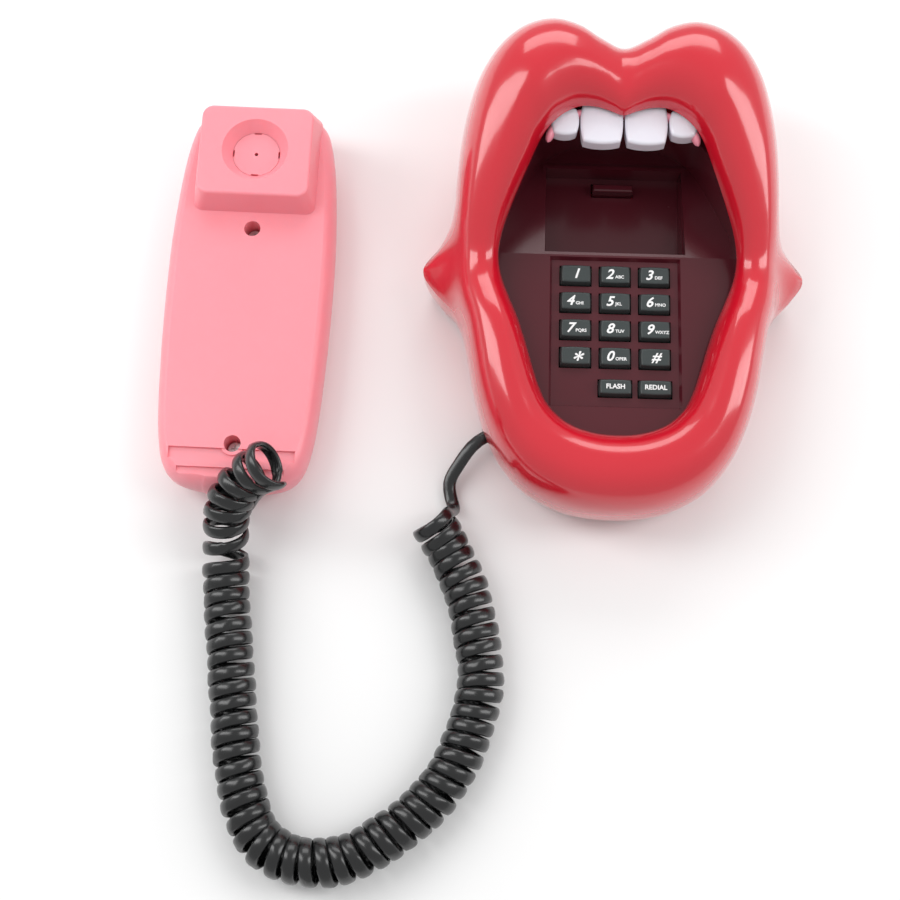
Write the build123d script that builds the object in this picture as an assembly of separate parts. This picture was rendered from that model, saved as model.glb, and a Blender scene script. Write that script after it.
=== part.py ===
from build123d import *
import math
import os
import numpy as np

# Novelty telephone: an open mouth with thick lips, a dark tray with the keypad inside it, and a
# tongue-shaped handset that lies beside it, face up, on its curly cord.
# Millimetres, +Z up. The origin is on the table, below the middle of the base and handset together.

# ---- places on the table ----
base_x, base_y = 54.6, 3.35           # the base's own centre, at the widest part of the mouth
handset_x, handset_y = -100.15, -7.9  # the handset's middle
handset_turn = -1.1                   # degrees: it lies almost parallel to the base

# ---- lips ----
# Stations round the right half of the lips, from the top notch to the bottom: the outer edge
# (x, y), the inner rim (x, y, z), the crest's height, and how far the mouth's corner flares out.
lip_stations = np.array([
    (0.0, 87.6, 0.0, 52.8, 66.0, 77.0, 0.0),
    (10.3, 91.3, 5.5, 54.8, 66.0, 79.0, 0.0),
    (20.4, 96.7, 11.5, 56.5, 66.0, 81.5, 0.0),
    (31.6, 98.5, 18.0, 56.4, 66.0, 83.5, 0.0),
    (42.9, 95.0, 24.5, 53.2, 65.5, 84.0, 0.0),
    (52.0, 87.5, 30.0, 48.0, 64.5, 83.0, 0.0),
    (58.8, 77.2, 33.6, 42.8, 62.0, 80.0, 0.0),
    (63.0, 65.7, 36.8, 36.0, 58.8, 76.0, 0.0),
    (65.9, 51.3, 40.4, 28.3, 54.8, 71.0, 0.0),
    (67.3, 36.7, 44.0, 20.0, 50.6, 65.5, 0.0),
    (67.8, 23.5, 47.3, 10.8, 46.5, 59.5, 0.6),
    (67.7, 11.6, 48.9, 3.2, 43.4, 54.0, 5.1),
    (66.7, 0.6, 48.8, -3.2, 41.2, 50.0, 13.8),
    (66.7, -8.6, 47.2, -10.0, 39.8, 49.0, 9.0),
    (65.7, -17.3, 44.2, -17.6, 38.8, 50.5, 2.4),
    (62.9, -28.1, 40.4, -26.8, 38.0, 52.5, 0.3),
    (60.5, -40.7, 37.0, -37.0, 37.2, 53.0, 0.0),
    (57.7, -55.3, 34.0, -47.2, 36.6, 52.5, 0.0),
    (53.1, -70.3, 31.0, -56.0, 36.0, 51.5, 0.0),
    (46.2, -83.9, 27.0, -63.4, 35.6, 50.0, 0.0),
    (35.2, -95.5, 19.8, -69.8, 35.2, 49.0, 0.0),
    (19.1, -103.1, 10.2, -73.4, 35.0, 48.3, 0.0),
    (0.0, -105.4, 0.0, -74.4, 35.0, 48.0, 0.0),
])
crest_share = 0.42      # the crest's place between the rim and the outer edge
bulge_share = 0.48      # the widest point's height, as a share of the crest's
shoulder = 2.5          # power of the superellipse from the crest to the widest point; 2 is an ellipse
shell_bottom = 2.6
bottom_inset = 0.17     # how far the shell pulls in below its widest point, as a share of its width
shell_wall = 2.4
boss_r, boss_hole_r = 3.6, 1.3
tall_boss_stations = (6, 19)      # these stand on the bottom plate
tray_boss_stations = (8, 16)      # these hold the tray

# ---- bottom plate, feet, ballast ----
plate_thick = 2.4
plate_gap = 1.0        # all round, inside the shell
plate_top = shell_bottom + plate_thick
foot_r, foot_sink = 6.0, 0.8
feet_at = [(42, 69), (-42, 69), (40, -58), (-40, -58)]
ballast_size = (12.0, 70.0, 8.0)
ballast_x, ballast_y = 43.0, -1.0

# ---- tray ----
tray_level = 34.0       # the flat lower part, round the keypad
tray_wall = 2.4
# the tray's inner outline, right half, from the back to the front
tray_outline = [(0, 57.5), (17, 57.5), (30, 50.5), (38.5, 37.5), (45.5, 22), (50.5, 6), (50.4, -4),
                (46.4, -18), (39.4, -37), (35.4, -52), (29, -65), (15, -74.5), (0, -77)]
floor_line = [(-90, tray_level), (5, tray_level), (51, 27.0), (75, 27.0)]
wall_line = [(-90, 34.0), (-60, 34.6), (-38, 35.8), (-18, 37.6), (-3, 40.0), (10, 45.4), (22, 50.0),
             (38, 53.5), (75, 55.0)]
cradle_half, cradle_front, cradle_back, cradle_floor = 28.3, 7.5, 47.0, 20.0
tab_slot, tab_slot_back = (18.2, 6.4), 0.9   # the slot leaves room for the tab to swing
panel_half, panel_back, panel_front, panel_floor = 26.3, 3.2, -60.8, 32.0

# ---- keys ----
key_pitch_x, key_pitch_y, last_row_drop = 16.4, 12.05, 13.1
key_first_y = -3.9
key_top, key_foot = (11.6, 7.1), (12.8, 8.5)
small_key_top, small_key_foot = (12.4, 5.8), (13.6, 7.2)
key_height = 3.2
key_gap = 0.35
skirt_low, skirt_high = 28.0, 29.3
skirt_wider, skirt_deeper = 1.6, 1.4     # than the key's foot, so that the key can't lift out
key_rows = [["key_1", "key_2", "key_3"], ["key_4", "key_5", "key_6"], ["key_7", "key_8", "key_9"],
            ["key_star", "key_0", "key_hash"], [None, "key_flash", "key_redial"]]
board_low, board_thick = 23.4, 1.6
mat_thick, dome_high, dome_r = 0.8, 0.8, 3.6

# ---- hook lever ----
hook_y, hook_pivot_y, hook_pivot_z = 40.5, 16.0, 13.5
hook_tab = (17.2, 3.4)
hook_top = 25.5
pin_r = 1.25
spring_y, spring_r = 33.0, 3.0

# ---- teeth ----
# each tooth: middle x, half width, front edge y, back y
teeth_cuts = [(-23.6, 6.0, 45.0, 58.0), (-8.5, 8.9, 41.3, 62.0),
              (9.7, 8.9, 41.3, 62.0), (24.9, 6.0, 45.0, 58.0)]
teeth_low, teeth_high = 58.0, 64.6
gum_low, gum_high = 54.6, 57.8

# ---- handset ----
# half widths of the handset along its length, from the earpiece end to the mouthpiece end
handset_outline = [(0, 85.0), (12, 84.9), (22, 83.4), (27.4, 79.6), (30.4, 72.5), (32.4, 62), (34.2, 44),
                   (35.3, 24), (35.5, 4), (35.2, -18), (34.4, -38), (33.2, -56), (31.4, -69), (28.4, -78),
                   (22.5, -83.6), (12, -86.2), (0, -86.6)]
spine_reach = 56.0      # half length of the line that the outline shrinks towards
parting_z, face_z = 17.0, 26.0
back_profile = [(17.0, 0.0), (11.0, 0.015), (6.0, 0.075), (2.6, 0.165), (0.7, 0.28), (0.0, 0.40)]
front_profile = [(17.0, 0.0), (21.0, 0.018), (24.2, 0.065), (26.0, 0.135)]
handset_wall = 2.2
block_top = 38.0
block_top_box, block_foot_box = (47.6, 38.3, 79.2), (53.0, 34.8, 82.2)   # width, front y, back y
dish_y, dish_r, dish_floor_r, dish_depth = 59.2, 14.2, 10.2, 5.0
cap_thick, cap_gap = 2.0, 0.15
screw_well_r, screw_well_floor, screws_y = 3.5, 15.5, (27.8, -68.0)
receiver_r, receiver_thick = 14.0, 7.0
mic_r, mic_thick, mic_y = 4.9, 5.0, -56.0
end_grooves = [(26.0, -75.0, -70.2, 1.3), (22.0, -81.4, -78.4, 1.2)]   # half width, front, back, depth

# ---- jacks and plugs ----
jack_w, jack_h, jack_deep = 11.2, 10.2, 11.0
socket_w, socket_h, socket_deep = 7.9, 6.9, 9.6
plug_gap, plug_out = 0.12, 3.0
base_jack_x, base_jack_y, base_jack_z, base_jack_turn = -49.2, -66.9, 10.2, 209.0
handset_jack_y, handset_jack_z = -83.6, 8.4
line_jack_w, line_jack_h, line_jack_deep = 14.0, 12.4, 15.0
line_socket_w, line_socket_h, line_socket_deep = 9.7, 6.7, 12.0
line_jack_front, line_jack_z = 77.0, 11.4

# ---- cord ----
coil_r, lead_r = 9.85, 2.6
# the coil's route, from its free end by the base round to the handset, in the object's frame
coil_route = [(-19.0, -103.2, 14.6), (-13.2, -111.6, 10.4), (-8.4, -120.8, 9.9), (-3.6, -131.2, 9.9),
              (-0.6, -143.5, 9.9), (1.9, -155.6, 9.9), (3.3, -167.2, 9.9), (1.6, -178.4, 9.9),
              (-1.9, -190.2, 9.9), (-6.4, -201.6, 9.9), (-13.6, -213.0, 9.9), (-23.0, -222.3, 9.9),
              (-34.0, -230.6, 9.9), (-45.4, -237.8, 9.9), (-58.0, -240.4, 9.9), (-70.6, -239.2, 9.9),
              (-81.6, -233.2, 9.9), (-87.6, -222.6, 9.9), (-91.0, -210.6, 9.9), (-93.6, -198.0, 9.9),
              (-95.3, -185.0, 9.9), (-97.0, -172.2, 9.9), (-98.6, -159.4, 9.9), (-100.5, -146.6, 9.9),
              (-101.9, -134.4, 9.9), (-102.9, -123.4, 11.0), (-102.6, -113.6, 16.4),
              (-100.6, -106.2, 25.6), (-97.2, -99.6, 35.0), (-91.4, -93.4, 39.6), (-83.4, -88.6, 40.0)]


def smooth(values, where):
    """Smooth curve through rows of values at 0, 1, 2 and so on (cubic through each four)."""
    last = len(values) - 1
    i = np.clip(np.floor(where).astype(int), 0, last - 1)
    t = (where - i).reshape(-1, 1)
    p0, p1 = values[np.maximum(i - 1, 0)], values[i]
    p2, p3 = values[i + 1], values[np.minimum(i + 2, last)]
    slope1, slope2 = (p2 - p0) / 2, (p3 - p1) / 2
    return ((2 * t**3 - 3 * t**2 + 1) * p1 + (t**3 - 2 * t**2 + t) * slope1
            + (3 * t**2 - 2 * t**3) * p2 + (t**3 - t**2) * slope2)


def lip_surface(where, inner=5, upper=8, lower=5):
    """Points of the lips' outer skin: one row for each place round the right half."""
    mirrored = np.vstack([lip_stations[2:0:-1], lip_stations, lip_stations[-2:-4:-1]])
    mirrored[:2, [0, 2]] *= -1
    mirrored[-2:, [0, 2]] *= -1
    row = smooth(mirrored, where + 2)
    outer, rim = row[:, None, 0:2], row[:, None, 2:4]
    rim_z, crest_z, flare = row[:, 4:5], row[:, 5:6], row[:, 6:7]
    bulge_z = crest_z * bulge_share
    a = np.radians(np.linspace(0, 90, inner + 1))[None, :-1]
    b = np.radians(np.linspace(0, 90, upper + 1))[None, :-1]
    c = np.linspace(0, 1, lower + 1)[None, :]
    out, up = np.sin(b)**(2 / shoulder), np.cos(b)**(2 / shoulder)
    share = np.hstack([crest_share * (1 - np.cos(a)), crest_share + (1 - crest_share) * out,
                       1 - bottom_inset * c**2]) + 0 * rim_z
    z = np.hstack([rim_z + (crest_z - rim_z) * np.sin(a), bulge_z + (crest_z - bulge_z) * up,
                   bulge_z - (bulge_z - shell_bottom) * c])
    low = np.clip((crest_z - z) / (crest_z - bulge_z), 0, 1) * (share > crest_share)
    plan = rim + (outer - rim) * share[..., None]
    plan[..., 0] += flare * low**2.4
    return np.dstack([plan, z])


def lip_sections():
    """Outer and inner skins of the lips at every station and one past each end, as rows of points."""
    where = np.arange(-1, len(lip_stations) + 1, dtype=float)
    step = 0.02
    skin = lip_surface(where)
    along = lip_surface(where + step) - lip_surface(where - step)
    across = np.gradient(skin, axis=1)
    normal = np.cross(along, across)
    normal /= np.linalg.norm(normal, axis=2, keepdims=True)
    inside = skin - shell_wall * normal * np.sign(normal[:1, 5:6, 2:3])
    inside[:, 0, 2] = skin[:, 0, 2]
    inside[:, -1, 2] = shell_bottom
    return skin, inside


def points(rows):
    return [tuple(float(v) for v in p) for p in rows]


def both_halves(half):
    return half + half.mirror(Plane.YZ)


def at_base(shape):
    return Pos(base_x, base_y, 0) * shape


def at_handset(shape):
    return Pos(handset_x, handset_y, 0) * Rot(0, 0, handset_turn) * shape


def as_is(shape):
    return shape


def box(x0, x1, y0, y1, z0, z1):
    return Pos((x0 + x1) / 2, (y0 + y1) / 2, (z0 + z1) / 2) * Box(x1 - x0, y1 - y0, z1 - z0)


def post(x, y, z0, z1, r):
    return Pos(x, y, (z0 + z1) / 2) * Cylinder(r, z1 - z0)


def mirrored_outline(half):
    """Closed smooth outline from the points of its right half, back to front."""
    right = Spline(*[(x, y, 0) for x, y in half], tangents=[(1, 0, 0), (-1, 0, 0)])
    return Wire([right.edge(), right.edge().mirror(Plane.YZ)])


def grown(half, amount):
    """The right half of an outline, moved outwards by an amount."""
    full = np.array([(-half[1][0], half[1][1])] + list(half) + [(-half[-2][0], half[-2][1])])
    along = full[2:] - full[:-2]
    along /= np.linalg.norm(along, axis=1, keepdims=True)
    moved = full[1:-1] + amount * np.column_stack([-along[:, 1], along[:, 0]])
    return [(float(x), float(y)) for x, y in moved]


def crest_place(station):
    x = crest_share * lip_stations[station][0] + (1 - crest_share) * lip_stations[station][2]
    y = crest_share * lip_stations[station][1] + (1 - crest_share) * lip_stations[station][3]
    return x, y, lip_stations[station][5]


def lip_shell(skin, inside):
    walls = []
    for outer_row, inner_row in zip(skin, inside):
        a, b = Spline(*points(outer_row)), Spline(*points(inner_row))
        walls.append(Wire([a, Line(a @ 1, b @ 1), b, Line(b @ 0, a @ 0)]))
    half = Solid.make_loft(walls) & box(0, 200, -200, 200, -1, 200)
    for station in tall_boss_stations + tray_boss_stations:
        x, y, top = crest_place(station)
        low = plate_top + 0.2 if station in tall_boss_stations else tray_level + 0.2
        half += post(x, y, low, top - 1.4, boss_r)
        half -= post(x, y, low - 1, low + 14, boss_hole_r)
    shell = both_halves(half)
    shell -= jack_place(Box(jack_deep * 2, jack_w + 0.6, jack_h + 0.6))
    shell -= box(-line_jack_w / 2 + 1, line_jack_w / 2 - 1, 72, 92, line_jack_z - 5.4, line_jack_z + 5.4)
    return shell


def plate_face(inside, gap):
    half = [(float(x), float(y)) for x, y, z in inside[1:-1, -1]]
    half[0], half[-1] = (0.0, half[0][1]), (0.0, half[-1][1])
    return make_face(mirrored_outline(grown(half, -gap)))


def bottom_plate(inside):
    plate = Pos(0, 0, shell_bottom) * extrude(plate_face(inside, plate_gap), plate_thick)
    for x, y in feet_at:
        plate -= post(x, y, 0, shell_bottom + foot_sink, foot_r + 0.1)
    for station in tall_boss_stations:
        x, y, _ = crest_place(station)
        for side in (1, -1):
            plate -= post(side * x, y, 0, plate_top + 1, 1.7)
    plate -= box(*switch_slot(0.3), 0, plate_top + 1)
    for x, y in board_posts():
        plate += post(x, y, plate_top - 0.2, board_z(), 2.4) - post(x, y, plate_top, board_z() + 1, 1.0)
    return plate


def board_posts():
    return [(x, y) for x in (-27, 27) for y in (-56, -14)]


def board_z():
    return 10.0


def switch_slot(gap):
    return -26 - gap, -14 + gap, 57 - gap, 61 + gap


def feet():
    return [post(x, y, 0, shell_bottom + foot_sink, foot_r) for x, y in feet_at]


def screw(x, y, head_z, length, up=1, head_r=2.8, shank_r=1.25):
    """Pan-head screw with a cross recess; its shank points up or down from the head."""
    head = post(0, 0, -1.8, 0, head_r)
    shank = post(0, 0, 0, length, shank_r)
    cross = box(-1.6, 1.6, -0.35, 0.35, -1.9, -0.9) + box(-0.35, 0.35, -1.6, 1.6, -1.9, -0.9)
    one = head + shank - cross
    if up < 0:
        one = Rot(180, 0, 0) * one
    return Pos(x, y, head_z) * one


def base_screws():
    heads = []
    for station in tall_boss_stations:
        x, y, _ = crest_place(station)
        heads += [screw(side * x, y, shell_bottom, 12, shank_r=boss_hole_r - 0.02) for side in (1, -1)]
    return heads


def tray_screws():
    heads = []
    for station in tray_boss_stations:
        x, y, _ = crest_place(station)
        heads += [screw(side * x, y, tray_level - tray_wall, 9, shank_r=boss_hole_r - 0.02)
                  for side in (1, -1)]
    return heads


def slab(line, low, wide=140):
    """Region between a height line along Y and a level below it, carried across X."""
    ends = [(line[-1][0], low), (line[0][0], low)]
    outline = make_face(Polyline(*[(0, y, z) for y, z in line + ends], close=True))
    return Pos(-wide / 2, 0, 0) * extrude(outline, wide, dir=(1, 0, 0))


def shifted(line, dz):
    return [(y, z + dz) for y, z in line]


def tray():
    inner = make_face(mirrored_outline(tray_outline))
    outer = make_face(mirrored_outline(grown(tray_outline, tray_wall)))
    prism = extrude(outer, 80)
    ring = extrude(outer - inner, 80)
    sheet = slab(floor_line, 0) - slab(shifted(floor_line, -tray_wall), -1)
    body = prism & sheet
    body += ring & (slab(wall_line, 0) - slab(shifted(floor_line, -tray_wall), -1))
    body += box(-panel_half - 2, panel_half + 2, panel_front - 2, panel_back + 2,
                panel_floor - tray_wall, 33.0)
    body += box(-cradle_half - 2.2, cradle_half + 2.2, cradle_front - 2.2, cradle_back + 2.2,
                cradle_floor - 2.2, 28.0)
    body -= pocket(panel_half, panel_front, panel_back, panel_floor, 40, 25)
    body -= pocket(cradle_half, cradle_front, cradle_back, cradle_floor, 40, 5)
    for name, x, y in key_places():
        w, d = (small_key_foot if small(name) else key_foot)
        body -= Pos(x, y, 30) * Box(w + 2 * key_gap, d + 2 * key_gap, 8)
    body -= Pos(0, hook_y + tab_slot_back, cradle_floor) * Box(*tab_slot, 10)
    for station in tray_boss_stations:
        x, y, _ = crest_place(station)
        for side in (1, -1):
            lug = box(side * x - 6, side * x + 6, y - 5, y + 5, tray_level - tray_wall, tray_level)
            reach = box(min(side * x, side * 36), max(side * x, side * 36), y - 5, y + 5,
                        tray_level - tray_wall, tray_level)
            body += (lug + reach) - extrude(inner, 80)
            body -= post(side * x, y, 25, 40, 1.6)
    for side in (1, -1):
        lug = box(side * 9 - 1.5, side * 9 + 1.5, hook_pivot_y - 4, hook_pivot_y + 4, hook_pivot_z - 3.5,
                  cradle_floor - 2.0)
        body += lug
    body -= Pos(0, hook_pivot_y, hook_pivot_z) * Rot(0, 90, 0) * Cylinder(pin_r, 30)
    for x, y in panel_posts():
        body += post(x, y, board_low + board_thick, panel_floor - 1, 2.2)
        body -= post(x, y, board_low, panel_floor - 2.6, 0.9)
    return body


def panel_posts():
    return [(x, y) for x in (-26.3, 26.3) for y in (-58.5, key_first_y - key_pitch_y / 2)]


def pocket(half, front, back, floor, top, draft):
    """Rectangular pocket whose walls lean outwards by draft degrees."""
    mouth = Pos(0, (front + back) / 2, floor) * Rectangle(2 * half, back - front)
    return extrude(mouth, top - floor, taper=-draft)


def key_places():
    places = []
    for r, row in enumerate(key_rows):
        y = key_first_y - r * key_pitch_y if r < 4 else key_first_y - 3 * key_pitch_y - last_row_drop
        places += [(name, (c - 1) * key_pitch_x, y) for c, name in enumerate(row) if name]
    return places


def small(name):
    return name in ("key_flash", "key_redial")


def key(name, x, y):
    """Tapered cap over a stem and a skirt that stops it from lifting out of its hole."""
    top, foot = (small_key_top, small_key_foot) if small(name) else (key_top, key_foot)
    low = Pos(0, 0, panel_floor + 0.05) * RectangleRounded(*foot, 0.9)
    high = Pos(0, 0, panel_floor + key_height) * RectangleRounded(*top, 0.7)
    cap = loft([low.face(), high.face()])
    stem = Pos(0, 0, (skirt_high + panel_floor) / 2) * Box(foot[0], foot[1], panel_floor - skirt_high + 0.2)
    skirt = Pos(0, 0, (skirt_low + skirt_high) / 2)
    skirt *= Box(foot[0] + skirt_wider, foot[1] + skirt_deeper, skirt_high - skirt_low)
    return Pos(x, y, 0) * (cap + stem + skirt)


def panel_sheet(z0, z1, margin_x, margin_y):
    return box(-panel_half + margin_x, panel_half - margin_x, panel_front + margin_y, panel_back - margin_y,
               z0, z1)


def key_mat():
    top = board_low + board_thick + mat_thick
    mat = panel_sheet(board_low + board_thick, top, 4.2, 4.2)
    for name, x, y in key_places():
        mat += post(x, y, top - 0.1, top + dome_high, dome_r if not small(name) else 2.6)
    return mat


def keypad_board():
    board = panel_sheet(board_low, board_low + board_thick, -2.2, -1.0)
    for x, y in panel_posts():
        board -= post(x, y, 20, 30, 1.1)
    return board


def board_screws():
    return [screw(x, y, board_low, 6, head_r=2.0, shank_r=0.88) for x, y in panel_posts()]


def main_board():
    board = box(-31, 31, -60, -10, board_z(), board_z() + 1.6)
    for x, y in board_posts():
        board -= post(x, y, 5, 15, 1.2)
    return board


def line_transformer():
    top = board_z() + 1.6
    core = box(8, 22, -40, -28, top, top + 9)
    coil = box(9.5, 20.5, -43, -25, top + 1, top + 8)
    return core + coil


def dial_chip():
    top = board_z() + 1.6
    chip = box(-20, 2, -38, -31.5, top + 0.6, top + 4.0)
    for i in range(8):
        x = -18.9 + i * 2.54
        chip += box(x - 0.25, x + 0.25, -39.2, -30.3, top, top + 2.0)
    return chip


def ringer():
    disc = post(0, -84, plate_top, plate_top + 4, 12)
    return disc - post(0, -84, plate_top + 3.2, plate_top + 5, 1.6)


def hook_lever():
    arm = box(-5, 5, hook_pivot_y - 3, hook_y + 1.7, hook_pivot_z - 1.5, hook_pivot_z + 1.5)
    hub = Pos(0, hook_pivot_y, hook_pivot_z) * Rot(0, 90, 0) * Cylinder(3.0, 10)
    tab = box(-hook_tab[0] / 2, hook_tab[0] / 2, hook_y - hook_tab[1] / 2, hook_y + hook_tab[1] / 2,
              hook_pivot_z - 1.5, hook_top)
    tab = fillet(tab.edges().group_by(Axis.Z)[-1], 0.9)
    bore = Pos(0, hook_pivot_y, hook_pivot_z) * Rot(0, 90, 0) * Cylinder(pin_r + 0.06, 12)
    return arm + hub + tab - bore


def hook_pin():
    return Pos(0, hook_pivot_y, hook_pivot_z) * Rot(0, 90, 0) * Cylinder(pin_r, 22)


def hook_switch():
    body = box(-4, 4, 20, 26, plate_top, plate_top + 4.0)
    plunger = post(0, 23, plate_top + 3.9, plate_top + 4.8, 0.9)
    return body + plunger


def hook_spring():
    tall = hook_pivot_z - 1.5 - plate_top
    tube = post(0, spring_y, plate_top, plate_top + tall, spring_r)
    return tube - post(0, spring_y, plate_top - 1, plate_top + tall + 1, spring_r - 0.6)


def ballast():
    h = ballast_size[2]
    return [Pos(side * ballast_x, ballast_y, plate_top + h / 2) * Box(*ballast_size) for side in (1, -1)]


def ringer_knob():
    x0, x1, y0, y1 = switch_slot(0)
    knob = box(x0, x0 + 7.5, y0 + 0.2, y1 - 0.2, 1.2, plate_top + 0.4)
    return knob + box(x0 - 1.5, x0 + 9, y0 - 1.2, y1 + 1.2, plate_top + 0.2, plate_top + 1.4)


def ringer_housing():
    x0, x1, y0, y1 = switch_slot(0)
    cover = box(x0 - 3, x1 + 3, y0 - 2.6, y1 + 2.6, plate_top, plate_top + 4)
    return cover - box(x0 - 1.8, x1 + 1.8, y0 - 1.5, y1 + 1.5, plate_top - 1, plate_top + 1.8)


def line_jack():
    w, h, d = line_jack_w, line_jack_h, line_jack_deep
    y1 = line_jack_front
    body = box(-w / 2, w / 2, y1 - d, y1, line_jack_z - h / 2, line_jack_z + h / 2)
    hole = box(-line_socket_w / 2, line_socket_w / 2, y1 - line_socket_deep, y1 + 1,
               line_jack_z - line_socket_h / 2, line_jack_z + line_socket_h / 2)
    notch = box(-3, 3, y1 - line_socket_deep, y1 + 1, line_jack_z - line_socket_h / 2 - 1.6, line_jack_z)
    contacts = [box(x - 0.25, x + 0.25, y1 - line_socket_deep, y1 - 3, line_jack_z + 2.2, line_jack_z + 4)
                for x in (-1.9, -0.6, 0.6, 1.9)]
    return body - hole - notch + contacts


def cord_jack():
    """Four-way cord socket, mouth towards +X at the origin."""
    body = box(-jack_deep, 0, -jack_w / 2, jack_w / 2, -jack_h / 2, jack_h / 2)
    return body - box(-socket_deep, 1, -socket_w / 2, socket_w / 2, -socket_h / 2, socket_h / 2)


def cord_plug():
    """Plug that fills the socket, with its latch; the cord leaves towards +X."""
    w, h = socket_w - 2 * plug_gap, socket_h - 2 * plug_gap
    body = box(-socket_deep + 0.1, plug_out, -w / 2, w / 2, -h / 2, h / 2 - 1.0)
    latch = box(-socket_deep + 3, plug_out - 0.6, -1.6, 1.6, h / 2 - 1.1, h / 2)
    return body + latch


def jack_place(shape):
    return Pos(base_jack_x, base_jack_y, base_jack_z) * Rot(0, 0, base_jack_turn) * shape


def handset_jack_place(shape):
    return Pos(0, handset_jack_y, handset_jack_z) * Rot(0, 0, -90) * shape


def tooth(x, half, front, back, low, high):
    """Tooth seen from its face: rounded front corners, a softly crowned face."""
    body = box(x - half, x + half, front, back, low, high)
    body = fillet(body.edges().filter_by(Axis.Z).group_by(Axis.Y)[0], min(half - 0.5, 3.6))
    return fillet(body.faces().sort_by(Axis.Z)[-1].edges(), 1.3)


def teeth():
    return [tooth(x, half - 0.15, front, back, teeth_low, teeth_high)
            for x, half, front, back in teeth_cuts]


def gum():
    front = Spline((-33, 44.5, 0), (-24, 52.5, 0), (0, 58.5, 0), (24, 52.5, 0), (33, 44.5, 0))
    back = Spline((33, 44.5, 0), (27, 60, 0), (0, 66, 0), (-27, 60, 0), (-33, 44.5, 0))
    strip = make_face(front.edges() + back.edges())
    return Pos(0, 0, gum_low) * extrude(strip, gum_high - gum_low)


def handset_ring(shrink, z, margin=0.0):
    """The handset's outline pulled towards its spine by a share, and in by a margin."""
    rows = []
    for x, y in handset_outline:
        spine = max(-spine_reach, min(spine_reach, y))
        reach = math.hypot(x, y - spine)
        k = (1 - shrink) - margin / reach
        rows.append((x * k, spine + (y - spine) * k))
    return Pos(0, 0, z) * make_face(mirrored_outline(rows))


def handset_half(profile, grow):
    """Solid of one shell's outside, or of its hollow when grow is the wall's thickness."""
    rings = [handset_ring(shrink, z + grow * lift, abs(grow)) for z, shrink, lift in profile]
    return loft([ring.face() for ring in rings])


def with_lift(profile, flat_end_lift):
    """Adds to each ring how far the wall's thickness shifts it up or down."""
    z0, z1 = profile[0][0], profile[-1][0]
    return [(z, shrink, flat_end_lift * ((z - z0) / (z1 - z0))) for z, shrink in profile]


def screw_well(y, cut):
    if cut:
        return post(0, y, screw_well_floor, face_z + 1, screw_well_r) + post(0, y, 10, 30, 1.6)
    return post(0, y, screw_well_floor - 1.8, face_z - 0.5, screw_well_r + 1.4)


def handset_back():
    shell = handset_half(with_lift(back_profile, 0), 0)
    shell -= handset_half(with_lift(back_profile, 1), handset_wall)
    for y in screws_y:
        shell += post(0, y, 1.0, screw_well_floor - 2.0, 3.0)
        shell -= post(0, y, 3.0, 20, 1.2)
    return shell - handset_jack_place(Box(2 * jack_deep + 0.6, jack_w + 0.4, jack_h + 0.4))


def block(top_box, foot_box, top, foot):
    w0, f0, b0 = foot_box
    w1, f1, b1 = top_box
    low = Pos(0, (f0 + b0) / 2, foot) * RectangleRounded(w0, b0 - f0, 4.0)
    high = Pos(0, (f1 + b1) / 2, top) * RectangleRounded(w1, b1 - f1, 5.0)
    return loft([low.face(), high.face()])


def handset_front():
    wall = handset_wall
    shell = handset_half(with_lift(front_profile, 0), 0)
    raised = block(block_top_box, block_foot_box, block_top, face_z - 2)
    raised = fillet(raised.faces().sort_by(Axis.Z)[-1].edges(), 1.2)
    shell += raised
    shell -= handset_half(with_lift(front_profile, -1), wall)
    inner_top = tuple(v + s * wall for v, s in zip(block_top_box, (-2, 1, -1)))
    inner_foot = tuple(v + s * wall for v, s in zip(block_foot_box, (-2, 1, -1)))
    shell -= block(inner_top, inner_foot, block_top - wall, face_z - 3)
    dish_floor = block_top - dish_depth
    shell += post(0, dish_y, dish_floor - 2 * wall, block_top - 1, dish_r + wall)
    shell -= Pos(0, dish_y, block_top - dish_depth / 2) * Cone(dish_floor_r, dish_r, dish_depth)
    shell -= post(0, dish_y, dish_floor - 10, dish_floor + 0.5, dish_floor_r - 1.2)
    shell -= post(0, dish_y, dish_floor - cap_thick, dish_floor + 0.5, dish_floor_r)
    shell -= post(0, dish_y, 14, dish_floor - 2 * wall + 0.2, receiver_r + 0.3)
    for half, front, back, deep in end_grooves:
        shell -= box(-half, half, front, back, face_z - deep, face_z + 3)
    for y in screws_y:
        shell += screw_well(y, False)
    for y in screws_y:
        shell -= screw_well(y, True)
    return shell


def earpiece_cap():
    floor = block_top - dish_depth
    disc = post(0, dish_y, floor - cap_thick, floor, dish_floor_r - cap_gap)
    disc -= post(0, dish_y, floor - cap_thick - 1, floor + 1, 0.8)
    for turn in range(4):
        notch = Rot(0, 0, 90 * turn) * Pos(dish_floor_r, 0, 0) * Box(1.6, 3.2, 20)
        disc -= Pos(0, dish_y, floor) * notch
    return disc


def receiver():
    top = block_top - dish_depth - 2 * handset_wall
    can = post(0, dish_y, top - receiver_thick, top, receiver_r)
    return can + post(0, dish_y, top - receiver_thick - 2, top - receiver_thick + 0.1, receiver_r - 5)


def microphone():
    low, high = parting_z - 2, parting_z - 2 + mic_thick
    return post(0, mic_y, low, high, mic_r) - post(0, mic_y, high - 0.8, high + 1, 1.0)


def handset_weight():
    return box(-8, 8, -40, 14, handset_wall + 0.1, handset_wall + 6.1)


def handset_screws():
    return [screw(0, y, screw_well_floor, 9, up=-1, shank_r=1.18) for y in screws_y]


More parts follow.
